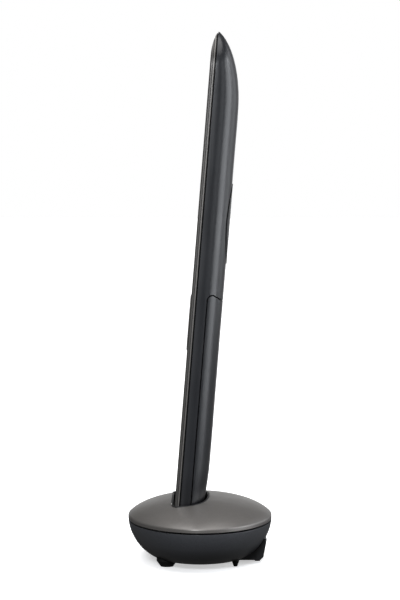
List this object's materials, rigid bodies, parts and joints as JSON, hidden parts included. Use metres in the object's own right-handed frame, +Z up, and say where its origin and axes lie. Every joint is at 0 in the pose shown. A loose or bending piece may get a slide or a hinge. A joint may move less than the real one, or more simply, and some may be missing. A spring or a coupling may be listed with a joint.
{
  "type": "cordless phone with base",
  "caption": "Slim cordless telephone handset leaning back in a domed oval charging base, with separate keys, battery door and sprung charging contacts.",
  "frame": {"origin": "on the surface the feet stand on, under the middle of the base", "axes": "+Z up, -Y towards the user (the side with the keys), +X to the right of someone looking along +Y"},
  "size_m": [0.088, 0.0478, 0.1752],
  "materials": {
    "taupe_metal": "satin metallic",
    "slate_plastic": "satin",
    "black_plastic": "satin",
    "gloss_black": "gloss",
    "bowl_plastic": "satin",
    "key_plastic": "satin",
    "nav_metal": "satin",
    "window_glass": "polished",
    "display": "gloss",
    "rubber": "matte",
    "mesh_steel": "satin",
    "gold_plate": "polished",
    "circuit_board": "satin",
    "tinned_steel": "satin",
    "screw_steel": "satin",
    "battery_wrap": "satin",
    "ballast_steel": "satin"
  },
  "bodies": {
    "cradle": {"cradle_top_cover": "taupe_metal", "cradle_well": "black_plastic", "cradle_bowl": "bowl_plastic", "cradle_base_plate": "black_plastic", "rubber_feet": "rubber", "rear_foot_strip": "rubber", "ballast_plates": "ballast_steel", "cradle_board": "circuit_board", "contact_block": "black_plastic", "power_inlet": "black_plastic", "line_socket": "black_plastic", "page_switch": "black_plastic", "cradle_screws": "screw_steel"},
    "handset": {"rear_casing": "slate_plastic", "speaker_cover": "slate_plastic", "front_shell": "taupe_metal", "trim_ring": "taupe_metal", "fascia": "gloss_black", "display_window": "window_glass", "display_gasket": "rubber", "display_module": "display", "earpiece_mesh": "mesh_steel", "earpiece_receiver": "black_plastic", "loudspeaker": "black_plastic", "speaker_gasket": "rubber", "main_board": "circuit_board", "shield_cans": "tinned_steel", "antenna": "gold_plate", "keypad_mat": "rubber", "dome_switches": "tinned_steel", "microphone": "tinned_steel", "microphone_boot": "rubber", "battery_pack": "battery_wrap", "battery_contacts": "gold_plate", "charge_pads": "gold_plate", "handset_screws": "screw_steel"},
    "battery_door": {"battery_cover": "slate_plastic"},
    "key_1": {"key_1": "key_plastic"},
    "key_2": {"key_2": "key_plastic"},
    "key_3": {"key_3": "key_plastic"},
    "key_4": {"key_4": "key_plastic"},
    "key_5": {"key_5": "key_plastic"},
    "key_6": {"key_6": "key_plastic"},
    "key_7": {"key_7": "key_plastic"},
    "key_8": {"key_8": "key_plastic"},
    "key_9": {"key_9": "key_plastic"},
    "key_star": {"key_star": "key_plastic"},
    "key_0": {"key_0": "key_plastic"},
    "key_hash": {"key_hash": "key_plastic"},
    "key_talk": {"key_talk": "key_plastic"},
    "key_end": {"key_end": "key_plastic"},
    "key_soft_left": {"key_soft_left": "key_plastic"},
    "key_soft_right": {"key_soft_right": "key_plastic"},
    "nav_rocker": {"nav_carrier": "black_plastic"},
    "nav_ring": {"nav_ring": "nav_metal"},
    "nav_centre_key": {"nav_centre_key": "key_plastic"},
    "contact_leaf_left": {"contact_leaf_left": "gold_plate"},
    "contact_leaf_right": {"contact_leaf_right": "gold_plate"},
    "page_key": {"page_key": "bowl_plastic"}
  },
  "joints": [
    {"name": "handset_lift", "type": "slide", "parent": "cradle", "child": "handset", "axis": [0, 0.0802, 0.9968], "range_m": [0, 0.06]},
    {"name": "key_1_press", "type": "slide", "parent": "handset", "child": "key_1", "axis": [0, 0.9968, -0.0802], "range_m": [0, 0.0004], "stiffness_N_per_m": 600},
    {"name": "key_2_press", "type": "slide", "parent": "handset", "child": "key_2", "axis": [0, 0.9968, -0.0802], "range_m": [0, 0.0004], "stiffness_N_per_m": 600},
    {"name": "key_3_press", "type": "slide", "parent": "handset", "child": "key_3", "axis": [0, 0.9968, -0.0802], "range_m": [0, 0.0004], "stiffness_N_per_m": 600},
    {"name": "key_4_press", "type": "slide", "parent": "handset", "child": "key_4", "axis": [0, 0.9968, -0.0802], "range_m": [0, 0.0004], "stiffness_N_per_m": 600},
    {"name": "key_5_press", "type": "slide", "parent": "handset", "child": "key_5", "axis": [0, 0.9968, -0.0802], "range_m": [0, 0.0004], "stiffness_N_per_m": 600},
    {"name": "key_6_press", "type": "slide", "parent": "handset", "child": "key_6", "axis": [0, 0.9968, -0.0802], "range_m": [0, 0.0004], "stiffness_N_per_m": 600},
    {"name": "key_7_press", "type": "slide", "parent": "handset", "child": "key_7", "axis": [0, 0.9968, -0.0802], "range_m": [0, 0.0004], "stiffness_N_per_m": 600},
    {"name": "key_8_press", "type": "slide", "parent": "handset", "child": "key_8", "axis": [0, 0.9968, -0.0802], "range_m": [0, 0.0004], "stiffness_N_per_m": 600},
    {"name": "key_9_press", "type": "slide", "parent": "handset", "child": "key_9", "axis": [0, 0.9968, -0.0802], "range_m": [0, 0.0004], "stiffness_N_per_m": 600},
    {"name": "key_star_press", "type": "slide", "parent": "handset", "child": "key_star", "axis": [0, 0.9968, -0.0802], "range_m": [0, 0.0004], "stiffness_N_per_m": 600},
    {"name": "key_0_press", "type": "slide", "parent": "handset", "child": "key_0", "axis": [0, 0.9968, -0.0802], "range_m": [0, 0.0004], "stiffness_N_per_m": 600},
    {"name": "key_hash_press", "type": "slide", "parent": "handset", "child": "key_hash", "axis": [0, 0.9968, -0.0802], "range_m": [0, 0.0004], "stiffness_N_per_m": 600},
    {"name": "key_talk_press", "type": "slide", "parent": "handset", "child": "key_talk", "axis": [0, 0.9968, -0.0802], "range_m": [0, 0.0004], "stiffness_N_per_m": 600},
    {"name": "key_end_press", "type": "slide", "parent": "handset", "child": "key_end", "axis": [0, 0.9968, -0.0802], "range_m": [0, 0.0004], "stiffness_N_per_m": 600},
    {"name": "key_soft_left_press", "type": "slide", "parent": "handset", "child": "key_soft_left", "axis": [0, 0.9968, -0.0802], "range_m": [0, 0.0004], "stiffness_N_per_m": 600},
    {"name": "key_soft_right_press", "type": "slide", "parent": "handset", "child": "key_soft_right", "axis": [0, 0.9968, -0.0802], "range_m": [0, 0.0004], "stiffness_N_per_m": 600},
    {"name": "nav_tilt_sideways", "type": "hinge", "parent": "handset", "child": "nav_rocker", "pos_m": [0, -0.0017, 0.07872], "axis": [0, 0.0802, 0.9968], "range_deg": [-2.2, 2.2], "stiffness_Nm_per_rad": 0.03},
    {"name": "nav_tilt_up_down", "type": "hinge", "parent": "nav_rocker", "child": "nav_ring", "pos_m": [0, -0.0017, 0.07872], "axis": [1, 0, 0], "range_deg": [-2.2, 2.2], "stiffness_Nm_per_rad": 0.03},
    {"name": "nav_centre_press", "type": "slide", "parent": "handset", "child": "nav_centre_key", "axis": [0, 0.9968, -0.0802], "range_m": [0, 0.0004], "stiffness_N_per_m": 600},
    {"name": "battery_door_hinge", "type": "hinge", "parent": "handset", "child": "battery_door", "pos_m": [0, 0.00033, 0.01926], "axis": [-1, 0, 0], "range_deg": [0, 14]},
    {"name": "contact_left_flex", "type": "hinge", "parent": "cradle", "child": "contact_leaf_left", "pos_m": [-0.007, -0.00877, 0.0052], "axis": [-1, 0, 0], "range_deg": [0, 10], "stiffness_Nm_per_rad": 0.02, "springref_deg": -20.05},
    {"name": "contact_right_flex", "type": "hinge", "parent": "cradle", "child": "contact_leaf_right", "pos_m": [0.007, -0.00877, 0.0052], "axis": [-1, 0, 0], "range_deg": [0, 10], "stiffness_Nm_per_rad": 0.02, "springref_deg": -20.05},
    {"name": "page_key_press", "type": "slide", "parent": "cradle", "child": "page_key", "axis": [0, 1, 0], "range_m": [0, 0.0008], "stiffness_N_per_m": 500}
  ]
}
